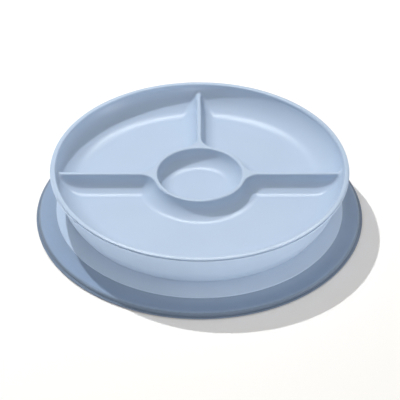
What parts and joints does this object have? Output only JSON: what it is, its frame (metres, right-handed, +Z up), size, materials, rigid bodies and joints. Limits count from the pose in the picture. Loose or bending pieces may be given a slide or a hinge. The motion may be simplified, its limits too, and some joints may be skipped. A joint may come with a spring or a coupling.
{
  "type": "baby suction plate",
  "caption": "Round divided baby plate with a raised middle cup, a hollow base and a wide silicone suction flange.",
  "frame": {"origin": "middle of the suction cup's contact circle, on the table", "axes": "+Z up; the divider that stands alone points along +Y, and the undivided half of the bowl faces -Y"},
  "size_m": [0.21, 0.21, 0.0388],
  "materials": {
    "plate_plastic": "satin",
    "base_plastic": "satin",
    "silicone": "matte"
  },
  "bodies": {
    "root": {"plate": "plate_plastic", "base_shell": "base_plastic", "suction_cup": "silicone"}
  },
  "joints": []
}
